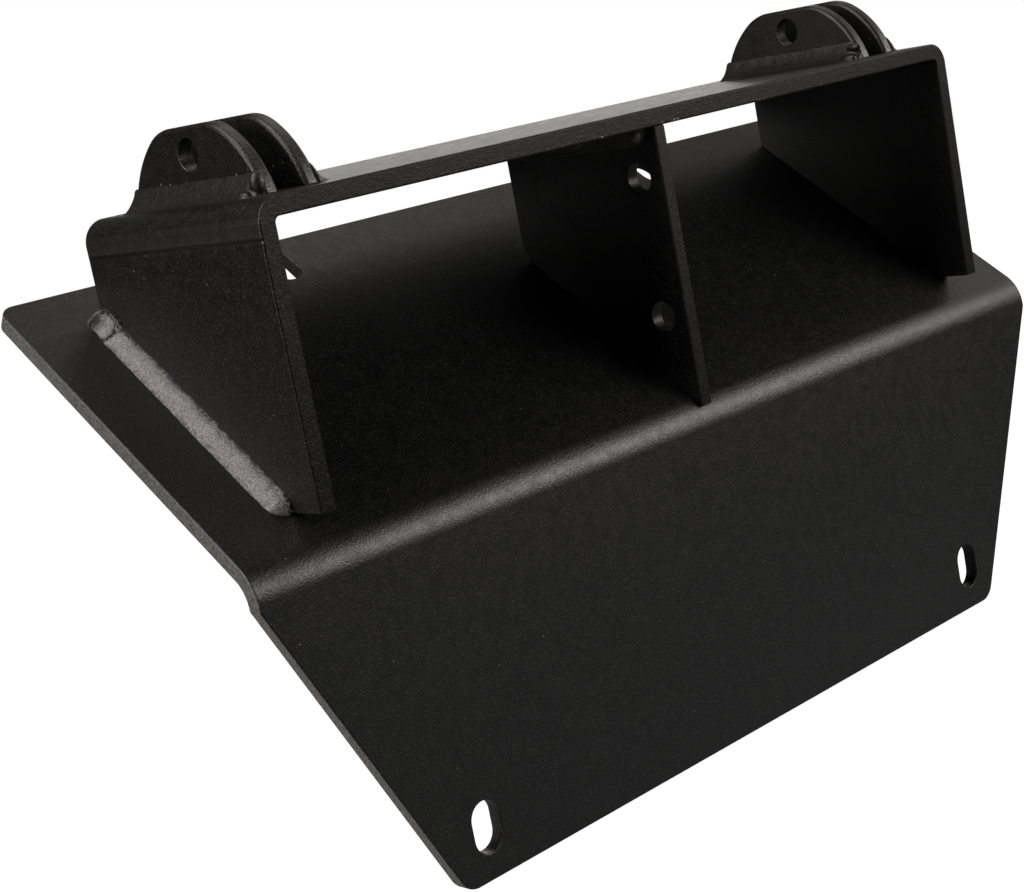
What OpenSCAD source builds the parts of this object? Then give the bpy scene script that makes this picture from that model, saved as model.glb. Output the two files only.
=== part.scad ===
// Mounting plate for a snow plow: a bent base plate carries a folded bracket, a gusset under the
// middle of the bracket, and two pairs of ears on top of it. The pieces are welded together.
// X runs across the plate, Y to the rear and Z up. The origin is on the rear face of the apron,
// midway between its two slots.

/* [Base plate] */
// Thickness of the base plate
plate_t = 5.5; // [4.5:0.05:8]
// Reach of the base plate past each side of the bracket
plate_side = 29.7; // [10:0.1:60]
// Length of the upper panel, from the outer corner of the bend to its rear edge
panel_len = 143; // [138:1:200]
// Slope of the upper panel above level, in degrees
panel_rise = 37.5; // [30:0.5:41]
// Length of the apron, from the outer corner of the bend to its bottom edge
apron_len = 123; // [80:1:180]
// Inside radius of the bend
bend_r = 10.4; // [3:0.1:14]
// How far each side of the apron has come in at its bottom edge
apron_taper = 55.1; // [10:0.1:70]
// Length of the apron's straight sides below the bend, before they taper
shoulder = 1; // [0.5:0.5:10]
// Radius of the apron's bottom corners
apron_corner_r = 8; // [2:0.5:16]
// Radius of the upper panel's rear corners
panel_corner_r = 6; // [2:0.5:12]

/* [Slots] */
// Width of the slots in the base plate
slot_w = 11.9; // [8:0.1:13]
// Length of the slots, end to end
slot_len = 18; // [15:0.5:22]
// Distance of the apron's slots from the ends of its bottom edge, to their centres
apron_slot_in = 12.7; // [11:0.1:60]
// Height of the apron's slots above its bottom edge, to their centres
apron_slot_up = 18; // [15:0.5:50]
// Distance of the upper panel's slots inside the sides of the bracket, to their centres
panel_slot_side = 78.3; // [20:0.1:150]
// Distance of the upper panel's slots from its rear edge, to their centres
panel_slot_in = 13; // [12.5:0.5:20]

/* [Bracket] */
// Thickness of the bracket
bracket_t = 6.35; // [4.5:0.05:8]
// Width over the bracket's legs
bracket_w = 355.6; // [345:0.1:380]
// Depth of the bracket, front to rear
bracket_d = 98.4; // [90:0.1:102]
// Height of the bracket's top over the panel's slope, measured at the front of the bracket
bracket_h = 108; // [106:0.5:160]
// Inside radius of the bracket's folds
fold_r = 2; // [1:0.25:5]
// How far the bracket's front lies behind the front of the apron
bracket_back = 1.2; // [0:0.1:6]
// Depth of the level cut at the front of each leg's foot
foot_cut = 14.7; // [8:0.1:30]

/* [Gusset] */
// Thickness of the gusset
gusset_t = 5.5; // [4.5:0.05:8]
// Depth of the gusset, front to rear
gusset_d = 78; // [60:0.5:88]
// Size of the cut at the rear corner of the gusset's foot
gusset_heel = 4; // [1:0.5:8]
// Diameter of the gusset's holes
gusset_hole_d = 11; // [6:0.1:14]
// Distance of the gusset's holes behind its front edge
gusset_hole_in = 11.6; // [9:0.1:20]
// Distance of the upper hole below the bracket's top
gusset_hole_down = 23.6; // [18:0.1:30]
// Distance between the gusset's holes
gusset_hole_spacing = 50.8; // [20:0.1:52]

/* [Ears] */
// Thickness of each ear
ear_t = 5.5; // [4:0.1:7]
// Gap between the two ears of a pair
ear_gap = 10.5; // [8:0.1:13]
// Distance from the side of the bracket to the middle of a pair
pair_in = 25.4; // [24.6:0.1:60]
// Radius of an ear's round sides
ear_r = 37.6; // [36:0.1:40]
// Radius that blends an ear's sides into its flat top
ear_corner_r = 20; // [6:0.5:24]
// Distance of the centre of the sides' radius below the bracket's top
ear_sink = 10.2; // [4:0.1:14]
// Height of an ear's flat top over the bracket
ear_h = 24.6; // [22:0.1:26]
// How far the ears stand behind the middle of the bracket
ear_back = 1; // [0:0.1:4]
// Diameter of the pin holes
pin_d = 10.5; // [6:0.1:12]
// Height of the pin holes over the bracket
pin_up = 15.6; // [13:0.1:16]

/* [Weld beads] */
// Reach of a leg's bead along the panel
leg_bead_out = 6.3; // [3:0.1:8]
// Reach of a leg's bead up the leg
leg_bead_up = 4.2; // [3:0.1:6]
// Reach of an ear's bead along the bracket
ear_bead_out = 6; // [3:0.1:6.2]
// Reach of an ear's bead up the ear
ear_bead_up = 7; // [4:0.1:8]
// Reach of the gusset's beads along both faces
gusset_bead = 6; // [3:0.1:8]
// How far the gusset's top bead stops short of both its ends, and its foot bead of the rear end
bead_end_gap = 5; // [1:0.5:15]
// Fullness of the beads: how far the centre of their round face lies behind the upright face
bead_back = 2; // [1:0.25:6]

/* [Hidden] */
$fn = 96;

paint = [0.09, 0.088, 0.085];
bead_paint = [0.2, 0.197, 0.193];

// Length that a cut or a clipping body reaches past what it cuts
over = 20;

// A rounding circle is this much larger than its radius, so that it crosses the sides that it
// blends into at a slight angle and doesn't only touch them
touch = 0.02;

// Width of the base plate and of the apron's bottom edge, and the spacings across the plate
plate_w = bracket_w + 2 * plate_side;
apron_bottom_w = plate_w - 2 * apron_taper;
apron_slot_spacing = apron_bottom_w - 2 * apron_slot_in;
panel_slot_spacing = bracket_w - 2 * panel_slot_side;
pair_x = bracket_w / 2 - pair_in;

// The bend: its outer corner, its turn and the length from the corner to where its arcs end
corner_y = -plate_t;
corner_z = apron_len - apron_slot_up;
bend_turn = 90 - panel_rise;
bend_out_r = bend_r + plate_t;
bend_reach = bend_out_r * tan(bend_turn / 2);

// The bracket: its front face, rear face and top, and the height of the panel's face under a point
front_y = corner_y + bracket_back;
rear_y = front_y + bracket_d;
function panel_z(y) = corner_z + (y - corner_y) * tan(panel_rise);
top_z = panel_z(front_y) + bracket_h;
web_z = top_z - bracket_t;
fold_out_r = fold_r + bracket_t;
foot_y = front_y + foot_cut;
leg_x = bracket_w / 2;

// Along the slope of the panel, from the bend's outer corner
foot_run = (foot_y - corner_y) / cos(panel_rise);
rear_run = (rear_y - corner_y) / cos(panel_rise);

gusset_rear_y = front_y + gusset_d;
ear_y = (front_y + rear_y) / 2 + ear_back;
ear_half = sqrt(pow(ear_r, 2) - pow(ear_sink, 2));
ear_in = (ear_gap + ear_t) / 2;
pair_half = ear_gap / 2 + ear_t;

function unit(v) = v / norm(v);

// Extrudes a (y, z) outline along X, centred on x
module across(x, w) {
    translate([x - w / 2, 0, 0])
        rotate([90, 0, 90])
            linear_extrude(w)
                children();
}

// Takes the point off a corner and leaves an arc of radius r; a and b are points on its two sides
module round_off(corner, a, b, r) {
    u = unit(a - corner);
    v = unit(b - corner);
    half = acos(u * v) / 2;
    reach = r / tan(half);
    mid = unit(u + v);
    centre = corner + mid * r / sin(half);
    difference() {
        polygon([corner + u * reach, centre, corner + v * reach, corner - mid * r]);
        translate(centre)
            circle(r + touch);
    }
}

// Slot outline about its centre, long side along the second axis
module slot_outline() {
    square([slot_w, slot_len - slot_w], center = true);
    for (side = [-1, 1])
        translate([0, side * (slot_len - slot_w) / 2])
            circle(d = slot_w);
}

// Side view of the bent strip in (y, z): what lies between the outer faces and the inner faces
module strip_outline() {
    up = [cos(panel_rise), sin(panel_rise)];
    out = [-sin(panel_rise), cos(panel_rise)];
    down = [0, -1];
    far = 2 * (panel_len + apron_len);
    outer = [corner_y, corner_z];
    inner = outer + up * plate_t * tan(bend_turn / 2) - out * plate_t;
    rear = outer + up * panel_len;
    bottom = outer + down * apron_len;
    difference() {
        polygon([outer, rear, rear - out * over, bottom + [panel_len, 0], bottom]);
        round_off(outer, rear, bottom, bend_out_r);
        difference() {
            polygon([inner, inner + up * far, inner + [far, -far], inner + down * far]);
            round_off(inner, inner + up, inner + down, bend_r);
        }
    }
}

// What is cut from the apron, seen from the front: its tapers, bottom corners and slots
module apron_cuts() {
    half = plate_w / 2;
    half_low = apron_bottom_w / 2;
    turn = corner_z - bend_reach - shoulder;
    low = corner_z - apron_len;
    for (side = [-1, 1]) {
        corner = [side * half_low, low];
        shoulder_end = [side * half, turn];
        past = corner + unit(corner - shoulder_end) * over;
        polygon([shoulder_end, [side * (half + over), turn], [side * (half + over), past[1]], past]);
        round_off(corner, [0, low], shoulder_end, apron_corner_r);
        translate([side * apron_slot_spacing / 2, low + apron_slot_up])
            slot_outline();
    }
}

// What is cut from the upper panel, in its own plane: its rear corners and slots
module panel_cuts() {
    for (side = [-1, 1]) {
        corner = [side * plate_w / 2, panel_len];
        round_off(corner, [0, panel_len], [side * plate_w / 2, 0], panel_corner_r);
        translate([side * panel_slot_spacing / 2, panel_len - panel_slot_in])
            slot_outline();
    }
}

// One plate, bent: the upper panel slopes up to the rear and the apron hangs straight down
module base_plate() {
    deep = plate_t + 2 * over;
    color(paint)
        difference() {
            across(0, plate_w)
                strip_outline();
            translate([0, over, 0])
                rotate([90, 0, 0])
                    linear_extrude(deep)
                        apron_cuts();
            translate([0, corner_y, corner_z])
                rotate([panel_rise, 0, 0])
                    translate([0, 0, -plate_t - over])
                        linear_extrude(deep)
                            panel_cuts();
        }
}

// Bracket seen from the front: a web on two legs, round at both folds
module bracket_outline() {
    low = corner_z - over;
    inside = leg_x - bracket_t;
    difference() {
        translate([-leg_x, low])
            square([bracket_w, top_z - low]);
        difference() {
            translate([-inside, low - over])
                square([2 * inside, web_z - low + over]);
            for (side = [-1, 1])
                round_off([side * inside, web_z], [0, web_z], [side * inside, low], fold_r);
        }
        for (side = [-1, 1])
            round_off([side * leg_x, top_z], [0, top_z], [side * leg_x, low], fold_out_r);
    }
}

// Everything under the legs: the panel's slope, and the level cut at the front
module under_feet() {
    far_y = rear_y + over;
    near_y = front_y - over;
    low = corner_z - 3 * over;
    polygon([
        [near_y, panel_z(foot_y)],
        [foot_y, panel_z(foot_y)],
        [far_y, panel_z(far_y)],
        [far_y, low],
        [near_y, low]
    ]);
}

// Folded from one strip: the web and two legs whose feet follow the panel
module bracket() {
    color(paint)
        difference() {
            translate([0, rear_y, 0])
                rotate([90, 0, 0])
                    linear_extrude(bracket_d)
                        bracket_outline();
            across(0, bracket_w + over)
                under_feet();
        }
}

// Upright plate between the web and the panel, with a hole near the top and one near the foot
module gusset() {
    hole_y = front_y + gusset_hole_in;
    hole_z = top_z - gusset_hole_down;
    heel_z = panel_z(gusset_rear_y) + gusset_heel;
    heel_y = gusset_rear_y - gusset_heel * cos(panel_rise);
    color(paint)
        across(0, gusset_t)
            difference() {
                polygon([
                    [front_y, web_z],
                    [front_y, panel_z(front_y)],
                    [heel_y, panel_z(heel_y)],
                    [gusset_rear_y, heel_z],
                    [gusset_rear_y, web_z]
                ]);
                for (down = [0, gusset_hole_spacing])
                    translate([hole_y, hole_z - down])
                        circle(d = gusset_hole_d);
            }
}

// Side view of an ear about the centre of its round sides
module ear_outline() {
    top = ear_sink + ear_h;
    mid_up = top - ear_corner_r;
    mid_y = sqrt(pow(ear_r - ear_corner_r, 2) - pow(mid_up, 2));
    far = ear_r + over;
    difference() {
        intersection() {
            circle(ear_r);
            translate([-ear_r, ear_sink])
                square([2 * ear_r, ear_h]);
        }
        for (side = [-1, 1]) {
            mid = [side * mid_y, mid_up];
            out = unit(mid);
            difference() {
                polygon([mid, mid + [0, far], mid + far * (out + [0, 1]), mid + far * out]);
                translate(mid)
                    circle(ear_corner_r + touch);
            }
        }
        translate([0, ear_sink + pin_up])
            circle(d = pin_d);
    }
}

// One ear, standing on the web
module ear(x) {
    color(paint)
        across(x, ear_t)
            translate([ear_y, top_z - ear_sink])
                ear_outline();
}

// Section of a bead in the corner of two faces: it reaches out along one and up the other
module bead_section(out, up) {
    down = (pow(out, 2) - pow(up, 2) + 2 * out * bead_back) / (2 * up);
    intersection() {
        translate([-bead_back, -down])
            circle(sqrt(pow(out + bead_back, 2) + pow(down, 2)));
        square([out + over, up + over]);
    }
}

// A bead of weld along X from 0, on the faces z = 0 and y = 0, with an end that is round each way
module bead(length, out, up) {
    color(bead_paint)
        union() {
            translate([out, 0, 0])
                rotate([90, 0, 90])
                    linear_extrude(length - 2 * out)
                        bead_section(out, up);
            for (last = [0, 1])
                translate([last == 1 ? length - out : out, 0, 0])
                    rotate([0, 0, last == 1 ? 0 : 90])
                        rotate_extrude(angle = 90)
                            bead_section(out, up);
        }
}

// Bead along the outside of a leg's foot; side is -1 on the left and 1 on the right
module leg_bead(side) {
    length = rear_run - foot_run;
    translate([side * leg_x, corner_y, corner_z])
        rotate([panel_rise, 0, 0])
            translate([0, foot_run, 0])
                mirror([side < 0 ? 1 : 0, 0, 0])
                    mirror([1, -1, 0])
                        bead(length, leg_bead_out, leg_bead_up);
}

// Bead along the outer face of an ear at x; side is the way that the face looks
module ear_bead(x, side) {
    translate([x, ear_y - ear_half, top_z])
        mirror([side < 0 ? 1 : 0, 0, 0])
            mirror([1, -1, 0])
                bead(2 * ear_half, ear_bead_out, ear_bead_up);
}

// Bead between the web and the left face of the gusset
module gusset_top_bead() {
    translate([-gusset_t / 2, front_y + bead_end_gap, web_z])
        mirror([0, 0, 1])
            mirror([1, 0, 0])
                mirror([1, -1, 0])
                    bead(gusset_d - 2 * bead_end_gap, gusset_bead, gusset_bead);
}

// Bead between the panel and the right face of the gusset
module gusset_foot_bead() {
    start = foot_run;
    stop = (gusset_rear_y - gusset_heel - corner_y) / cos(panel_rise) - bead_end_gap;
    translate([gusset_t / 2, corner_y, corner_z])
        rotate([panel_rise, 0, 0])
            translate([0, start, 0])
                mirror([1, -1, 0])
                    bead(stop - start, gusset_bead, gusset_bead);
}

module ear_left_outer() { ear(-pair_x - ear_in); }
module ear_left_inner() { ear(-pair_x + ear_in); }
module ear_right_inner() { ear(pair_x - ear_in); }
module ear_right_outer() { ear(pair_x + ear_in); }
module weld_leg_left() { leg_bead(-1); }
module weld_leg_right() { leg_bead(1); }
module weld_ear_left_outer() { ear_bead(-pair_x - pair_half, -1); }
module weld_ear_left_inner() { ear_bead(-pair_x + pair_half, 1); }
module weld_ear_right_inner() { ear_bead(pair_x - pair_half, -1); }
module weld_ear_right_outer() { ear_bead(pair_x + pair_half, 1); }
module weld_gusset_top() { gusset_top_bead(); }
module weld_gusset_foot() { gusset_foot_bead(); }

base_plate();
bracket();
gusset();
ear_left_outer();
ear_left_inner();
ear_right_inner();
ear_right_outer();
weld_leg_left();
weld_leg_right();
weld_ear_left_outer();
weld_ear_left_inner();
weld_ear_right_inner();
weld_ear_right_outer();
weld_gusset_top();
weld_gusset_foot();
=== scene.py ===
"""Looks of a welded plow mounting plate: base plate, folded bracket, gusset, two pairs of ears and welds.

Every length is in millimetres and is turned into metres by mm(). X runs across the plate, Y to the rear and
Z up. Paint tones are grey levels, from 0 for black to 1 for white.
"""
import math
import random

import bpy
from mathutils import Euler, Matrix, Vector


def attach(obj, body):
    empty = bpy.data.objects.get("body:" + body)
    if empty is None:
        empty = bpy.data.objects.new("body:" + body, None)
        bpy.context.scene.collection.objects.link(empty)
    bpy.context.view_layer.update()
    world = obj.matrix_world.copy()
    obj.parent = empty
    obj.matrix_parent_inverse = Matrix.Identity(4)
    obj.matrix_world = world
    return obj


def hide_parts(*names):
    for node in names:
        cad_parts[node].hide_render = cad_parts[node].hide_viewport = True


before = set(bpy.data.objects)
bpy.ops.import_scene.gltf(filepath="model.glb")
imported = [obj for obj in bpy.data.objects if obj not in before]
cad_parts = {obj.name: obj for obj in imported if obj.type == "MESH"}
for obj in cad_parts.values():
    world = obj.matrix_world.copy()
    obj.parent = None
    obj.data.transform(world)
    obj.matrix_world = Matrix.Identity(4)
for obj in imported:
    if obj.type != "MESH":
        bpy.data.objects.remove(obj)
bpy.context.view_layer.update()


def mm(*lengths):
    """Millimetres as metres: one number, or a point."""
    return lengths[0] / 1000 if len(lengths) == 1 else Vector(lengths) / 1000


# The part's own sizes, as in the CAD source
RISE = math.radians(37.5)
ALONG_PANEL = Vector((0, math.cos(RISE), math.sin(RISE)))
OFF_PANEL = Vector((0, -math.sin(RISE), math.cos(RISE)))
BEND_CORNER = (-5.5, 105.0)
LEG_OUTSIDE = 177.8
WEB_TOP = 213.921
WEB_UNDER = 207.571
GUSSET_SIDE = 2.75
EAR_MIDDLE = 45.9
EAR_HALF = 36.2
DIE_MARK = 201.6
DIE_BAND = 208.4
PIN_HEIGHT = WEB_TOP + 15.6
LEG_START = 20.03
LEG_LENGTH = 105.5
OUTER_BEAD_AT = 163.15
INNER_BEAD_AT = 141.65

# Where the paint changes on the part
EAR_TOE = WEB_TOP + 7.0
PANEL_SIDE_FROM = 206.0
APRON_SIDE_FROM = 148.0
PANEL_BEHIND = 8.0
SKIN_LEAN = (54.0, 178.0)
PIN_HOLE_REACH = 8.0

# Tones of the paint
COAT_TONES = (0.0008, 0.0022)
COAT_GRAIN_TONE = 0.022
# Painted shade in the die marks' grooves, and painted light on the band above the lower one
MARK_SHADE_TONE = 0.0008
BAND_LIGHT_TONE = 0.030
# Painted shade at the leg beads' toes and in their end craters
TOE_SHADE_TONE = 0.006
DUST_TONE = (0.15, 0.135, 0.12)
EDGE_DUST_AND_TICK_TONE = (0.20, 0.18, 0.16)
BEAD_SHINE = 0.6


# Small helpers

def pick(*pieces):
    """Leaves only these pieces selected, the last one active."""
    if bpy.context.object and bpy.context.object.mode != "OBJECT":
        bpy.ops.object.mode_set(mode="OBJECT")
    bpy.ops.object.select_all(action="DESELECT")
    for piece in pieces:
        piece.select_set(True)
    bpy.context.view_layer.objects.active = pieces[-1]


def apply_all(piece):
    """Applies every modifier of a piece, in order."""
    pick(piece)
    for modifier in list(piece.modifiers):
        bpy.ops.object.modifier_apply(modifier=modifier.name)


# Paint

def paint(name):
    """A new material, as (material, nodes, join, shader, place), place being the object's own coordinates."""
    material = bpy.data.materials.new(name)
    material.use_nodes = True
    nodes = material.node_tree.nodes
    place = nodes.new("ShaderNodeTexCoord")
    return material, nodes, material.node_tree.links.new, nodes["Principled BSDF"], place.outputs["Object"]


def noise(nodes, join, place, size_mm, detail=2.0, roughness=0.5, distortion=0.0):
    """Cloudy pattern whose patches are about size_mm wide."""
    node = nodes.new("ShaderNodeTexNoise")
    node.inputs["Scale"].default_value = 1000.0 / size_mm
    node.inputs["Detail"].default_value = detail
    node.inputs["Roughness"].default_value = roughness
    node.inputs["Distortion"].default_value = distortion
    join(place, node.inputs["Vector"])
    return node.outputs["Fac"]


def ramp(nodes, join, value, stops):
    """Colour ramp through (position, colour) stops."""
    node = nodes.new("ShaderNodeValToRGB")
    line = node.color_ramp
    line.elements[0].position, line.elements[1].position = stops[0][0], stops[-1][0]
    for position, _ in stops[1:-1]:
        line.elements.new(position)
    for element, (position, colour) in zip(line.elements, stops):
        element.position = position
        element.color = (*colour, 1.0)
    join(value, node.inputs["Fac"])
    return node.outputs["Color"]


def grey(level):
    """Neutral tone with the paint's slight warmth."""
    return (level, level * 0.955, level * 0.93)


def blend(nodes, join, share, first, second):
    """Colour that goes from first to second as share goes from 0 to 1."""
    node = nodes.new("ShaderNodeMix")
    node.data_type = "RGBA"
    join(share, node.inputs[0])
    for socket, value in ((node.inputs[6], first), (node.inputs[7], second)):
        if isinstance(value, tuple):
            socket.default_value = (*value, 1.0)
        else:
            join(value, socket)
    return node.outputs[2]


def spread(nodes, join, value, low, high, out_low, out_high):
    """Value stretched from low..high to out_low..out_high, and held inside it."""
    node = nodes.new("ShaderNodeMapRange")
    for name, number in (("From Min", low), ("From Max", high), ("To Min", out_low), ("To Max", out_high)):
        node.inputs[name].default_value = number
    join(value, node.inputs["Value"])
    return node.outputs["Result"]


def work_out(nodes, join, operation, first, second):
    """One sum of two values or numbers."""
    node = nodes.new("ShaderNodeMath")
    node.operation = operation
    for socket, value in zip(node.inputs, (first, second)):
        if isinstance(value, float):
            socket.default_value = value
        else:
            join(value, socket)
    return node.outputs["Value"]


def bump(nodes, join, shader, layers):
    """Stacks bump layers, given as (height, depth in mm), under the shader."""
    below = None
    for height, depth in layers:
        node = nodes.new("ShaderNodeBump")
        node.inputs["Distance"].default_value = mm(depth)
        node.inputs["Strength"].default_value = 1.0
        join(height, node.inputs["Height"])
        if below is not None:
            join(below, node.inputs["Normal"])
        below = node.outputs["Normal"]
    join(below, shader.inputs["Normal"])


def dust(nodes, join, place, every_mm, reach, thin):
    """Tiny specks of dust: 1 on a speck and 0 elsewhere.

    They are about every_mm apart and reach out by that share of it. The share thin of them is kept.
    """
    spots = nodes.new("ShaderNodeTexVoronoi")
    spots.inputs["Scale"].default_value = 1000.0 / every_mm
    join(place, spots.inputs["Vector"])
    near = spread(nodes, join, spots.outputs["Distance"], reach, reach * 0.6, 0.0, 1.0)
    chosen = nodes.new("ShaderNodeSeparateColor")
    join(spots.outputs["Color"], chosen.inputs["Color"])
    kept = spread(nodes, join, chosen.outputs[0], 1.0 - thin, 1.0 - thin * 0.9, 0.0, 1.0)
    return work_out(nodes, join, "MULTIPLY", near, kept)


def distance_from(nodes, join, height, level_mm):
    """How far a height is from a level, above or below it, in metres."""
    return work_out(nodes, join, "ABSOLUTE", work_out(nodes, join, "SUBTRACT", height, mm(level_mm)), 0.0)


def add_die_marks(nodes, join, place, where, tone, layers):
    """Two marks that the folding die left on the outside of the bracket's legs, with a lighter band between.

    The marks are grooves in the bump, and their dark tone is painted shade in the grooves. The lighter band
    is painted light. Gives the new tone, and adds each mark's groove to the bump layers.
    """
    across = work_out(nodes, join, "ABSOLUTE", where.outputs["X"], 0.0)
    outside = spread(nodes, join, across, mm(LEG_OUTSIDE - 1.0), mm(LEG_OUTSIDE - 0.6), 0.0, 1.0)
    wave = spread(nodes, join, noise(nodes, join, place, 45.0), 0.3, 0.7, mm(-0.7), mm(0.7))
    wavy = work_out(nodes, join, "ADD", where.outputs["Z"], wave)
    # The marks' dark lines are painted shade in their grooves
    for height, level, reach, dark, depth in ((where.outputs["Z"], DIE_MARK, 1.0, 0.9, 0.9),
                                              (wavy, DIE_BAND, 1.6, 0.3, 0.30)):
        off = distance_from(nodes, join, height, level)
        line = work_out(nodes, join, "MULTIPLY", spread(nodes, join, off, 0.0, mm(reach), 1.0, 0.0), outside)
        tone = blend(nodes, join, work_out(nodes, join, "MULTIPLY", line, dark), tone, grey(MARK_SHADE_TONE))
        layers.append((work_out(nodes, join, "SUBTRACT", 1.0, line), depth))
    # Painted light: a lighter band above the lower mark, fading upwards
    fading = spread(nodes, join, where.outputs["Z"], mm(DIE_MARK), mm(DIE_BAND), 0.45, 0.1)
    between = work_out(nodes, join, "MULTIPLY", outside, fading)
    above = spread(nodes, join, where.outputs["Z"], mm(DIE_MARK), mm(DIE_MARK + 0.3), 0.0, 1.0)
    return blend(nodes, join, work_out(nodes, join, "MULTIPLY", between, above), tone, grey(BAND_LIGHT_TONE))


def make_powder_coat(name, die_marks=False, spatter=False):
    """Satin black powder coat on flat steel: fine orange peel, slow clouds in the tone and a little dust.

    The bracket's coat also shows the marks of the folding die, with painted shade in their grooves and
    painted light on the band between, and the ears' coat the welding spatter along the top of their beads.
    """
    material, nodes, join, shader, place = paint(name)
    clouds = noise(nodes, join, place, 70, detail=3.0)
    grain = noise(nodes, join, place, 0.6, detail=1.5)
    dark, light = COAT_TONES
    tone = ramp(nodes, join, clouds, [(0.35, grey(dark)), (0.65, grey(light))])
    tone = blend(nodes, join, spread(nodes, join, grain, 0.54, 0.72, 0.0, 1.0), tone, grey(COAT_GRAIN_TONE))
    layers = [(noise(nodes, join, place, 1.3, detail=1.0), 0.045), (grain, 0.11)]
    specks = dust(nodes, join, place, 7.0, 0.04, 0.45)
    where = nodes.new("ShaderNodeSeparateXYZ")
    join(place, where.inputs["Vector"])
    if die_marks:
        tone = add_die_marks(nodes, join, place, where, tone, layers)
    if spatter:
        off = distance_from(nodes, join, where.outputs["Z"], EAR_TOE)
        band = spread(nodes, join, off, mm(0.5), mm(1.6), 1.0, 0.0)
        drops = work_out(nodes, join, "MULTIPLY", band, dust(nodes, join, place, 1.6, 0.3, 0.3))
        specks = work_out(nodes, join, "MAXIMUM", specks, drops)
    join(blend(nodes, join, specks, tone, DUST_TONE), shader.inputs["Base Color"])
    smear = noise(nodes, join, place, 4.0)
    join(spread(nodes, join, smear, 0.3, 0.7, 0.37, 0.45), shader.inputs["Roughness"])
    shader.inputs["Specular IOR Level"].default_value = 0.5
    bump(nodes, join, shader, layers)
    return material


def make_cut_edge(name, low, middle, high, shine=0.5, ticks=False):
    """The same paint over a thermally cut edge: coarse speckle in three tones, and small pits.

    The bracket's also shows light ticks along the lower edge of its web.
    """
    material, nodes, join, shader, place = paint(name)
    grain = noise(nodes, join, place, 0.8, detail=3.0, roughness=0.7)
    tone = ramp(nodes, join, grain, [(0.36, grey(low)), (0.52, grey(middle)), (0.68, grey(high))])
    specks = dust(nodes, join, place, 5.0, 0.05, 0.3)
    if ticks:
        # Light ticks in patches along the web's lower edge
        where = nodes.new("ShaderNodeSeparateXYZ")
        join(place, where.inputs["Vector"])
        off = distance_from(nodes, join, where.outputs["Z"], WEB_UNDER + 0.5)
        band = spread(nodes, join, off, mm(0.3), mm(0.8), 1.0, 0.0)
        thin = spread(nodes, join, noise(nodes, join, place, 45.0), 0.50, 0.60, 0.0, 1.0)
        tick_band = work_out(nodes, join, "MULTIPLY", band, thin)
        ticked = work_out(nodes, join, "MULTIPLY", tick_band, dust(nodes, join, place, 2.2, 0.35, 0.5))
        specks = work_out(nodes, join, "MAXIMUM", specks, ticked)
    join(blend(nodes, join, specks, tone, EDGE_DUST_AND_TICK_TONE), shader.inputs["Base Color"])
    smear = noise(nodes, join, place, 2.0)
    join(spread(nodes, join, smear, 0.3, 0.7, 0.36, 0.44), shader.inputs["Roughness"])
    shader.inputs["Specular IOR Level"].default_value = shine
    bump(nodes, join, shader, [(noise(nodes, join, place, 2.6, detail=1.0), 0.05), (grain, 0.14)])
    return material


def crater_shade(nodes, join, place, middle, rear_side):
    """Painted shade in a leg bead's end crater: a dark ragged ring in the hollow round its middle, and a
    painted shadow on its rear side.

    Both points are in metres on the right leg's bead. The left leg's crater mirrors it.
    """
    mirrored = nodes.new("ShaderNodeVectorMath")
    mirrored.operation = "ABSOLUTE"
    join(place, mirrored.inputs[0])
    ragged = spread(nodes, join, noise(nodes, join, place, 1.2, detail=2.0), 0.3, 0.7, mm(-0.7), mm(0.7))
    away = []
    for point in (middle, rear_side):
        gap = nodes.new("ShaderNodeVectorMath")
        gap.operation = "DISTANCE"
        gap.inputs[1].default_value = point
        join(mirrored.outputs["Vector"], gap.inputs[0])
        away.append(work_out(nodes, join, "ADD", gap.outputs["Value"], ragged))
    # Painted shade: a dark ring in the crater's hollow, and a painted shadow on its rear side
    ring = work_out(nodes, join, "MULTIPLY", spread(nodes, join, away[0], mm(4.2), mm(5.0), 0.0, 0.95),
                    spread(nodes, join, away[0], mm(5.5), mm(6.3), 1.0, 0.0))
    shadow = spread(nodes, join, away[1], mm(1.2), mm(4.6), 0.85, 0.0)
    return work_out(nodes, join, "MAXIMUM", ring, shadow)


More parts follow.
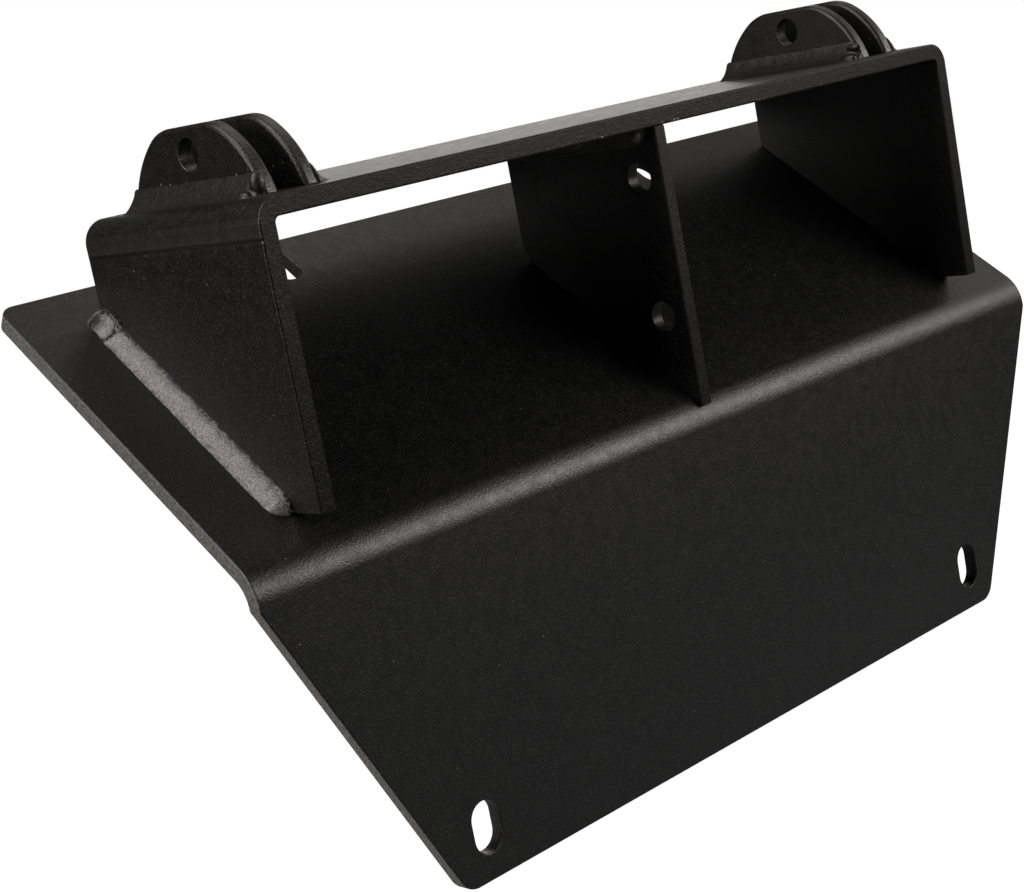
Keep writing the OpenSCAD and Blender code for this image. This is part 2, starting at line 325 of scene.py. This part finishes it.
def make_bead_paint(name, low, high, toes_from=None, crater=None):
    """Paint over weld metal: fine grain with a few wrinkles.

    A leg bead also has dark ragged toes, painted shade along the creases where it meets the leg and the
    panel, toes_from being the leg's outer face, and crater is the pair of points where crater_shade paints
    shade.
    """
    material, nodes, join, shader, place = paint(name)
    grain = noise(nodes, join, place, 0.45, detail=2.0, roughness=0.6)
    tone = ramp(nodes, join, grain, [(0.40, grey(low)), (0.62, grey(high))])
    # Painted shade: darker ragged toes where the bead meets the leg and the panel
    if toes_from is not None:
        where = nodes.new("ShaderNodeSeparateXYZ")
        join(place, where.inputs["Vector"])
        across = work_out(nodes, join, "ABSOLUTE", where.outputs["X"], 0.0)
        out = work_out(nodes, join, "SUBTRACT", across, mm(toes_from))
        ragged = spread(nodes, join, noise(nodes, join, place, 1.3, detail=2.0), 0.3, 0.7, mm(-0.9), mm(0.9))
        out = work_out(nodes, join, "ADD", out, ragged)
        clear = work_out(nodes, join, "MULTIPLY", spread(nodes, join, out, mm(0.4), mm(1.3), 0.0, 1.0),
                         spread(nodes, join, out, mm(5.7), mm(7.2), 1.0, 0.0))
        tone = blend(nodes, join, clear, grey(TOE_SHADE_TONE), tone)
    if crater is not None:
        # Painted shade in the crater, with its gloss lowered there as well
        shade = crater_shade(nodes, join, place, *crater)
        tone = blend(nodes, join, shade, tone, grey(TOE_SHADE_TONE))
        join(spread(nodes, join, shade, 0.0, 1.0, BEAD_SHINE, 0.08), shader.inputs["Specular IOR Level"])
    join(tone, shader.inputs["Base Color"])
    smear = noise(nodes, join, place, 1.5)
    join(spread(nodes, join, smear, 0.3, 0.7, 0.40, 0.50), shader.inputs["Roughness"])
    shader.inputs["Specular IOR Level"].default_value = BEAD_SHINE
    bump(nodes, join, shader, [(noise(nodes, join, place, 1.4, detail=1.0), 0.07), (grain, 0.10)])
    return material


PLATE_COAT = make_powder_coat("black_powder_coat")
BRACKET_COAT = make_powder_coat("black_powder_coat_folded", die_marks=True)
EAR_COAT = make_powder_coat("black_powder_coat_ears", spatter=True)
CUT_EDGE = make_cut_edge("painted_cut_edge", 0.0008, 0.003, 0.016, shine=0.22)
BRACKET_EDGE = make_cut_edge("painted_bracket_edge", 0.0008, 0.003, 0.018, shine=0.20, ticks=True)
EAR_EDGE = make_cut_edge("painted_ear_edge", 0.003, 0.008, 0.026, shine=0.8)
# A lighter copy of the cut-edge paint, for the base plate's left half: painted light
LEFT_LIT_CUT_EDGE = make_cut_edge("painted_cut_edge_lit_left", 0.012, 0.026, 0.045)
BASE_EDGE = make_cut_edge("painted_base_plate_edge", 0.050, 0.105, 0.150)
EAR_BEAD_PAINT = make_bead_paint("painted_ear_bead", 0.002, 0.007)
# The gusset's beads get a lighter copy of the bead paint than the ears' beads: painted light
GUSSET_BEAD_LIT_PAINT = make_bead_paint("gusset_bead_paint_with_painted_light", 0.012, 0.040)


# Plates

def whole_round(_place):
    """Every edge gets the full round."""
    return 1.0


def paint_plate(node_name, choose_paint, paints=(PLATE_COAT, CUT_EDGE), round_mm=0.5, share=whole_round):
    """A plate with its edges broken by a small round. choose_paint gives the number of each face's paint.

    An edge gets the share of round_mm that share gives for its place. The plate is a merged copy of its CAD
    node, so that every face stays where the CAD has it.
    """
    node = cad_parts[node_name]
    plate = bpy.data.objects.new(node_name + "_painted", node.data.copy())
    bpy.context.collection.objects.link(plate)
    pick(plate)
    bpy.ops.object.mode_set(mode="EDIT")
    bpy.ops.mesh.select_all(action="SELECT")
    bpy.ops.mesh.customdata_custom_splitnormals_clear()
    bpy.ops.mesh.remove_doubles(threshold=mm(0.002))
    bpy.ops.mesh.dissolve_limited(angle_limit=math.radians(0.3))
    bpy.ops.mesh.select_mode(type="EDGE")
    bpy.ops.mesh.select_all(action="DESELECT")
    bpy.ops.mesh.edges_select_sharp(sharpness=math.radians(30))
    bpy.ops.object.mode_set(mode="OBJECT")
    bpy.ops.object.shade_smooth()
    rounds = plate.data.attributes.new("bevel_weight_edge", "FLOAT", "EDGE")
    for edge in plate.data.edges:
        if edge.select:
            start, end = (plate.data.vertices[point].co for point in edge.vertices)
            rounds.data[edge.index].value = share((start + end) / 2)
    plate.data.materials.clear()
    for coat in paints:
        plate.data.materials.append(coat)
    for face in plate.data.polygons:
        face.material_index = choose_paint(face)
    rounding = plate.modifiers.new("broken_edges", "BEVEL")
    rounding.limit_method = "WEIGHT"
    rounding.width = mm(round_mm)
    rounding.segments = 3
    rounding.use_clamp_overlap = False
    rounding.loop_slide = False
    rounding.harden_normals = True
    flat = plate.modifiers.new("flat_faces", "WEIGHTED_NORMAL")
    flat.weight = 100
    flat.keep_sharp = True
    apply_all(plate)
    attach(plate, "root")
    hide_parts(node_name)
    return plate


def base_plate_paint(face):
    """Number of the paint on one of the base plate's faces.

    0 is for its two skins, 2 for its left and right outline, and 3 and 1 for the other cut faces on its left
    and right half, the left half's in a lighter copy of the cut-edge paint: painted light and shade.
    """
    sideways = abs(face.normal.x)
    lean = math.degrees(math.atan2(face.normal.z, -face.normal.y)) % 180
    side_from = PANEL_SIDE_FROM if face.center.y > mm(PANEL_BEHIND) else APRON_SIDE_FROM
    if sideways > 0.5 and abs(face.center.x) > mm(side_from):
        return 2
    if sideways < 0.02 and (lean < SKIN_LEAN[0] or lean > SKIN_LEAN[1]):
        return 0
    return 3 if face.center.x < 0 else 1


paint_plate("base_plate", base_plate_paint, (PLATE_COAT, CUT_EDGE, BASE_EDGE, LEFT_LIT_CUT_EDGE))
paint_plate("bracket", lambda face: int(abs(face.normal.y) > 0.5), (BRACKET_COAT, BRACKET_EDGE), 0.6)
paint_plate("gusset", lambda face: int(abs(face.normal.x) < 0.5))


def ear_edge_share(place):
    """The ears' outlines are well rounded. Their pin holes and what the beads cover are nearly sharp."""
    from_hole = math.hypot(place.y - mm(EAR_MIDDLE), place.z - mm(PIN_HEIGHT))
    return 0.25 if from_hole < mm(PIN_HOLE_REACH) or place.z < mm(WEB_TOP + 0.5) else 1.0


for ear in ("ear_left_outer", "ear_left_inner", "ear_right_inner", "ear_right_outer"):
    paint_plate(ear, lambda face: int(abs(face.normal.x) < 0.5), (EAR_COAT, EAR_EDGE), 1.4, ear_edge_share)


# Welds

FULLNESS = 0.10
WANDER = 0.12
END_AT = 4.2
FIRST_RIPPLE = 5.6
RIPPLE_STEP = 1.15
SUNK = 0.5
DRAW_IN = 6.6
LEG_BEAD_OUT, LEG_BEAD_UP = 6.7, 4.6
EAR_BEAD_OUT, EAR_BEAD_UP, EAR_BEAD_FLARE = 6.8, 7.4, 6.5
EAR_BEAD_LENGTH = 2 * EAR_HALF + 4.6


class Joint:
    """The inside corner that a bead fills: a line, and the ways along, out over the plate and up the wall."""

    def __init__(self, start, along, out, up):
        self.start, self.along, self.out, self.up = Vector(start), Vector(along), Vector(out), Vector(up)

    def at(self, s, o, u):
        """The point s along, o out and u up, in metres."""
        return (self.start + self.along * s + self.out * o + self.up * u) / 1000

    def tilted(self):
        """The same line seen from the bead's face: out runs across the face and up comes straight off it."""
        half = math.sqrt(0.5)
        return Joint(self.start, self.along, (self.out - self.up) * half, (self.out + self.up) * half)

    def turn(self):
        """Matrix that turns X, Y and Z to along, out and up."""
        return Matrix((self.along, self.out, self.up)).transposed().to_4x4()


def pebble(joint, middle, radii, lean=0.0):
    """A squashed ball at a place of the joint, leaned over along it."""
    bpy.ops.mesh.primitive_uv_sphere_add(segments=28, ring_count=14, radius=1.0)
    ball = bpy.context.object
    shape = Matrix.Rotation(lean, 4, "Z") @ Matrix.Diagonal((*(mm(r) for r in radii), 1.0))
    ball.matrix_world = Matrix.Translation(joint.at(*middle)) @ joint.turn() @ shape
    bpy.ops.object.transform_apply(location=True, rotation=True, scale=True)
    return ball


def melt(bead, voxel_mm=0.4):
    """Melts all that a bead is made of into one skin."""
    skin = bead.modifiers.new("one_skin", "REMESH")
    skin.mode = "VOXEL"
    skin.voxel_size = mm(voxel_mm)
    apply_all(bead)


def roughen(bead, waves):
    """Moves a bead's skin in and out by soft noise, given as (size, depth) in mm."""
    for size_mm, depth_mm in waves:
        cloud = bpy.data.textures.new(f"{bead.name}_{size_mm}", "CLOUDS")
        cloud.noise_scale = mm(size_mm)
        cloud.noise_depth = 1
        rough = bead.modifiers.new("uneven", "DISPLACE")
        rough.texture = cloud
        rough.texture_coords = "LOCAL"
        rough.strength = mm(depth_mm)
        rough.mid_level = 0.5
    apply_all(bead)


def fit_bead(bead, node_name, joint, walls, coat):
    """Trims a bead flush with the faces that it lies on, paints it and puts it in the CAD bead's place."""
    pick(bead)
    bpy.ops.object.mode_set(mode="EDIT")
    for wall in walls:
        bpy.ops.mesh.select_all(action="SELECT")
        bpy.ops.mesh.bisect(plane_co=joint.at(0, 0, 0), plane_no=wall, use_fill=True, clear_inner=True,
                            threshold=1e-7)
    bpy.ops.mesh.select_all(action="SELECT")
    bpy.ops.mesh.normals_make_consistent(inside=False)
    bpy.ops.object.mode_set(mode="OBJECT")
    bpy.ops.object.shade_smooth_by_angle(angle=math.radians(50))
    bead.name = node_name + "_painted"
    bead.data.materials.clear()
    bead.data.materials.append(coat)
    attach(bead, "root")
    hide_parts(node_name)


def lay_full_bead(node_name, joint, length, out_leg, up_leg, seed, lumps, dishes):
    """A full, round-faced bead along a joint: ripples melted into one skin, with lumps and dishes.

    Each ripple is a squashed ball whose rim makes the bead's round face, set a little in or out of line.
    """
    chance = random.Random(seed)
    chord = math.hypot(out_leg, up_leg)
    rise = FULLNESS * chord
    radius = (chord * chord / 4 + rise * rise) / (2 * rise)
    face = Vector((up_leg, out_leg)).normalized()
    middle = Vector((out_leg, up_leg)) / 2 - face * (radius - rise)
    round_end = (4.4, out_leg * 0.92, up_leg * 0.92)
    parts = [pebble(joint, (s, 0, 0), round_end) for s in (END_AT, length - END_AT)]
    s, drift = FIRST_RIPPLE, 0.0
    while s < length - FIRST_RIPPLE:
        drift = 0.8 * drift + chance.uniform(-WANDER, WANDER)
        parts.append(pebble(joint, (s, *(middle + face * drift)), (4.0, radius, radius), 0.10))
        s += RIPPLE_STEP + chance.uniform(-0.2, 0.2)
    for place, radii in lumps:
        parts.append(pebble(joint.tilted(), place, radii))
    pick(*parts)
    bpy.ops.object.join()
    bead = bpy.context.object
    melt(bead)
    for place, radii in dishes:
        hollow = pebble(joint.tilted(), place, radii)
        press = bead.modifiers.new("dish", "BOOLEAN")
        press.object = hollow
        press.operation = "DIFFERENCE"
        apply_all(bead)
        bpy.data.objects.remove(hollow)
        melt(bead)
    soften = bead.modifiers.new("soften", "SMOOTH")
    soften.iterations = 5
    roughen(bead, ((5.0, 0.45), (1.6, 0.07)))
    fit_bead(bead, node_name, joint, (joint.out, joint.up), LEG_BEAD_LIT_PAINT)


def lay_hollow_bead(node_name, joint, length, out_leg, up_leg, coat, lumps=(), walls=None, flare=0.0):
    """A bead with a hollow face: a bar with its outer edge bevelled inwards, drawn in at both ends.

    With a flare, its far end sweeps down to nothing over that length instead.
    """
    cuts = int(length)
    bpy.ops.mesh.primitive_cube_add(size=1.0, location=(0.5, 0.5, 0.5))
    bead = bpy.context.object
    bpy.ops.object.transform_apply(location=True)
    bpy.ops.object.mode_set(mode="EDIT")
    choose(bead, "EDGE", lambda a, b: min(a.y, b.y) > 0.9 and min(a.z, b.z) > 0.9)
    bpy.ops.mesh.bevel(offset=0.95, segments=10, profile=0.16)
    choose(bead, "EDGE", lambda a, b: abs(a.x - b.x) > 0.5)
    bpy.ops.mesh.subdivide(number_cuts=cuts)
    size = (mm(length), mm(out_leg + SUNK), mm(up_leg + SUNK))
    bpy.ops.mesh.select_all(action="SELECT")
    bpy.ops.transform.resize(value=size, center_override=(0, 0, 0))
    for ring in range(cuts + 2):
        s = ring * length / (cuts + 1)
        near, far = min(1.0, (s + 0.6) / DRAW_IN), min(1.0, (length - s + 0.4) / (flare or DRAW_IN))
        out_scale = up_scale = math.sqrt(1 - (1 - near) ** 2)
        if flare:
            out_scale, up_scale = out_scale * far ** 0.6, up_scale * far ** 2
        else:
            out_scale = up_scale = up_scale * math.sqrt(1 - (1 - far) ** 2)
        if out_scale < 1:
            choose(bead, "VERT", lambda p: abs(p.x - mm(s)) < mm(0.2))
            corner = (mm(s), mm(SUNK * 0.6), mm(SUNK * 0.6))
            bpy.ops.transform.resize(value=(1, out_scale, up_scale), center_override=corner)
    bpy.ops.object.mode_set(mode="OBJECT")
    bead.matrix_world = Matrix.Translation(joint.at(0, -SUNK, -SUNK)) @ joint.turn()
    bpy.ops.object.transform_apply(location=True, rotation=True, scale=True)
    pick(*[pebble(joint, place, radii) for place, radii in lumps], bead)
    if lumps:
        bpy.ops.object.join()
    melt(bead, 0.35)
    soften = bead.modifiers.new("soften", "SMOOTH")
    soften.iterations = 4
    roughen(bead, ((7.0, 0.3), (2.4, 0.10)))
    fit_bead(bead, node_name, joint, walls or (joint.out, joint.up), coat)


def choose(piece, kind, wanted):
    """In edit mode, selects only the points (VERT) or edges (EDGE) whose ends all pass the test."""
    bpy.ops.mesh.select_mode(type=kind)
    bpy.ops.mesh.select_all(action="DESELECT")
    bpy.ops.object.mode_set(mode="OBJECT")
    points = piece.data.vertices
    if kind == "VERT":
        for point in points:
            point.select = wanted(point.co)
    else:
        for edge in piece.data.edges:
            edge.select = wanted(*(points[end].co for end in edge.vertices))
    bpy.ops.object.mode_set(mode="EDIT")


def leg_joint(side):
    """Corner between a leg's outer face and the panel, from the leg's foot to its rear."""
    foot = Vector((side * LEG_OUTSIDE, *BEND_CORNER)) + ALONG_PANEL * LEG_START
    return Joint(foot, ALONG_PANEL, (side, 0, 0), OFF_PANEL)


LEG_FACE = leg_joint(1).tilted()
# The leg beads' paint is far lighter than the black coat: a painted highlight, with painted shade at its toes
# and crater
LEG_BEAD_LIT_PAINT = make_bead_paint("leg_bead_paint_with_painted_highlight", 0.055, 0.230, toes_from=LEG_OUTSIDE,
                                 crater=(LEG_FACE.at(99.6, 1.4, 3.8), LEG_FACE.at(103.6, 1.6, 4.4)))
for node_name, side, seed, lump, dish in (
        ("weld_leg_left", -1, 3, ((99.6, 1.0, 3.2), (7.6, 6.4, 2.5)), ((99.8, 1.2, 5.9), (6.2, 5.2, 2.1))),
        ("weld_leg_right", 1, 8, ((99.8, 0.8, 3.0), (6.2, 5.4, 2.3)), ((99.8, 0.9, 5.7), (4.6, 3.9, 1.8)))):
    lay_full_bead(node_name, leg_joint(side), LEG_LENGTH, LEG_BEAD_OUT, LEG_BEAD_UP, seed, [lump], [dish])


def ear_joint(x, side):
    """Corner between an ear's face and the web's top, from front to rear."""
    return Joint((x, EAR_MIDDLE - EAR_HALF, WEB_TOP), (0, 1, 0), (side, 0, 0), (0, 0, 1))


for node_name, x, side, lumps in (
        ("weld_ear_left_outer", -OUTER_BEAD_AT, -1,
         [((1.4, 1.0, 3.8), (2.6, 2.5, 3.8)), ((5.0, 4.4, 0.5), (3.2, 1.6, 1.5))]),
        ("weld_ear_left_inner", -INNER_BEAD_AT, 1, []),
        ("weld_ear_right_inner", INNER_BEAD_AT, -1,
         [((2.4, 1.6, 5.0), (3.4, 1.5, 1.5)), ((4.0, 3.8, 1.0), (3.4, 1.5, 1.4))]),
        ("weld_ear_right_outer", OUTER_BEAD_AT, 1, [])):
    ear = ear_joint(x, side)
    lay_hollow_bead(node_name, ear, EAR_BEAD_LENGTH, EAR_BEAD_OUT, EAR_BEAD_UP, EAR_BEAD_PAINT,
                    lumps=lumps, walls=(ear.up,), flare=EAR_BEAD_FLARE)

top = Joint((-GUSSET_SIDE, 0.7, WEB_UNDER), (0, 1, 0), (-1, 0, 0), (0, 0, -1))
lay_hollow_bead("weld_gusset_top", top, 68.0, 6.6, 6.6, GUSSET_BEAD_LIT_PAINT,
                lumps=[((2.6, 2.4, 2.4), (2.8, 2.8, 2.8)), ((38.0, 2.6, 2.4), (9.0, 3.2, 3.2))])
foot_start = Vector((GUSSET_SIDE, *BEND_CORNER)) + ALONG_PANEL * LEG_START
foot = Joint(foot_start, ALONG_PANEL, (1, 0, 0), OFF_PANEL)
lay_hollow_bead("weld_gusset_foot", foot, 68.6, 6.4, 6.4, GUSSET_BEAD_LIT_PAINT,
                lumps=[((66.0, 2.4, 2.0), (3.2, 3.2, 3.0))])


# Studio

AWAY_FROM_CAMERA = (0.664, 0.748, 0.0)
BACKDROP_IN_GLOSS = 0.25
FLOOR_IN_GLOSS = 0.26
FLOOR_SEEN = 1.24
FLOOR_SHARE = 0.8
ROOM_LIGHT = 0.06
FLOOR_TOP = -18.4
LAMP_TINT = (1.0, 0.95, 0.915)
LIT = mm(0, 40, 130)
CAMERA_AT = mm(-517.322, -478.090, 238.220)
CAMERA_TURN = (78.958, 10.740, -43.675)
LENS = 68.909


def behind(nodes, join, place, near, far):
    """1 straight behind the part as the camera sees it, falling to 0 from far to near."""
    reach = nodes.new("ShaderNodeVectorMath")
    reach.operation = "DOT_PRODUCT"
    reach.inputs[1].default_value = AWAY_FROM_CAMERA
    join(place, reach.inputs[0])
    return spread(nodes, join, reach.outputs["Value"], near, far, 0.0, 1.0)


def make_floor():
    """Pale floor that stays white to the eye and keeps the part's soft shadow."""
    bpy.ops.mesh.primitive_plane_add(size=6.0, location=mm(0, 0, FLOOR_TOP))
    floor = bpy.context.object
    floor.name = "studio_floor"
    material = bpy.data.materials.new("pale_floor")
    material.use_nodes = True
    nodes, join = material.node_tree.nodes, material.node_tree.links.new
    nodes.clear()
    path = nodes.new("ShaderNodeLightPath").outputs
    place = nodes.new("ShaderNodeTexCoord").outputs["Object"]
    rear = work_out(nodes, join, "MULTIPLY", behind(nodes, join, place, 0.3, 0.9), BACKDROP_IN_GLOSS)
    away = nodes.new("ShaderNodeVectorMath")
    away.operation = "LENGTH"
    join(place, away.inputs[0])
    near = spread(nodes, join, away.outputs["Value"], 0.1, 1.0, FLOOR_IN_GLOSS, 0.0)
    in_gloss = work_out(nodes, join, "MAXIMUM", path["Is Glossy Ray"], path["Is Transmission Ray"])
    mirrored = work_out(nodes, join, "MULTIPLY", in_gloss, work_out(nodes, join, "MAXIMUM", rear, near))
    seen = work_out(nodes, join, "MULTIPLY", path["Is Camera Ray"], FLOOR_SEEN)
    glow = nodes.new("ShaderNodeEmission")
    join(work_out(nodes, join, "ADD", seen, mirrored), glow.inputs["Strength"])
    matte = nodes.new("ShaderNodeBsdfDiffuse")
    join(blend(nodes, join, in_gloss, (0.8, 0.8, 0.8), (0.03, 0.03, 0.03)), matte.inputs["Color"])
    shown = work_out(nodes, join, "MAXIMUM", path["Is Camera Ray"], in_gloss)
    mix = nodes.new("ShaderNodeMixShader")
    join(work_out(nodes, join, "MULTIPLY", shown, FLOOR_SHARE), mix.inputs["Fac"])
    join(matte.outputs["BSDF"], mix.inputs[1])
    join(glow.outputs["Emission"], mix.inputs[2])
    out = nodes.new("ShaderNodeOutputMaterial")
    join(mix.outputs["Shader"], out.inputs["Surface"])
    floor.data.materials.append(material)


def make_backdrop():
    """World that is white to the eye, a dim wall behind the part in gloss, and otherwise a weak light."""
    world = bpy.data.worlds.new("studio")
    bpy.context.scene.world = world
    world.use_nodes = True
    nodes, join = world.node_tree.nodes, world.node_tree.links.new
    nodes.clear()
    path = nodes.new("ShaderNodeLightPath").outputs
    way = nodes.new("ShaderNodeTexCoord").outputs["Generated"]
    split = nodes.new("ShaderNodeSeparateXYZ")
    join(way, split.inputs["Vector"])
    low = spread(nodes, join, split.outputs["Z"], 0.30, 0.55, 1.0, 0.0)
    wall = work_out(nodes, join, "MULTIPLY", behind(nodes, join, way, 0.6, 0.85), low)
    wall = work_out(nodes, join, "MAXIMUM", wall, 0.03)
    in_gloss = work_out(nodes, join, "MAXIMUM", path["Is Glossy Ray"], path["Is Transmission Ray"])
    wall = work_out(nodes, join, "MULTIPLY", wall, BACKDROP_IN_GLOSS)
    gloss = work_out(nodes, join, "MULTIPLY", in_gloss, wall)
    not_gloss = work_out(nodes, join, "SUBTRACT", 1.0, in_gloss)
    rest = work_out(nodes, join, "MULTIPLY", not_gloss, ROOM_LIGHT)
    level = work_out(nodes, join, "MAXIMUM", path["Is Camera Ray"], work_out(nodes, join, "ADD", gloss, rest))
    light = nodes.new("ShaderNodeBackground")
    light.inputs["Color"].default_value = (1.0, 1.0, 1.0, 1.0)
    join(level, light.inputs["Strength"])
    out = nodes.new("ShaderNodeOutputWorld")
    join(light.outputs["Background"], out.inputs["Surface"])


def softbox(name, towards, distance, width, height, power):
    """Soft lamp on the side of the part that towards points to, turned to face it."""
    lamp = bpy.data.lights.new(name, "AREA")
    lamp.shape = "RECTANGLE"
    lamp.size, lamp.size_y, lamp.energy = width, height, power
    lamp.color = LAMP_TINT
    holder = bpy.data.objects.new(name, lamp)
    bpy.context.collection.objects.link(holder)
    way = Vector(towards).normalized()
    holder.location = LIT + way * distance
    holder.rotation_euler = way.to_track_quat("Z", "Y").to_euler()


def place_camera():
    """Camera at the photograph's place and angle."""
    lens = bpy.data.cameras.new("camera")
    lens.sensor_width = 36.0
    lens.lens = LENS
    lens.clip_start = 0.01
    camera = bpy.data.objects.new("camera", lens)
    bpy.context.collection.objects.link(camera)
    camera.location = CAMERA_AT
    camera.rotation_euler = Euler([math.radians(degrees) for degrees in CAMERA_TURN])
    bpy.context.scene.camera = camera


make_floor()
make_backdrop()
softbox("right_front_softbox", (0.66, -0.66, 0.31), 1.3, 0.8, 0.35, 6.6)
softbox("front_softbox", (0.45, -0.83, 0.31), 1.3, 0.6, 0.35, 4.0)
softbox("right_softbox", (0.95, 0.0, 0.30), 1.4, 0.7, 0.5, 1.4)
softbox("overhead_left_softbox", (-0.55, 0.05, 0.83), 1.1, 0.6, 0.6, 6.5)
softbox("left_softbox", (-0.93, 0.1, 0.33), 1.4, 0.6, 0.6, 8.5)
softbox("behind_softbox", (0.66, 0.74, 0.15), 1.4, 0.8, 0.4, 2.3)
softbox("overhead_behind_softbox", (0.60, 0.30, 0.74), 1.4, 0.7, 0.7, 1.0)
softbox("overhead_right_softbox", (0.40, 0.15, 0.90), 1.3, 0.7, 0.7, 1.0)
place_camera()
bpy.context.scene.view_settings.view_transform = "Standard"
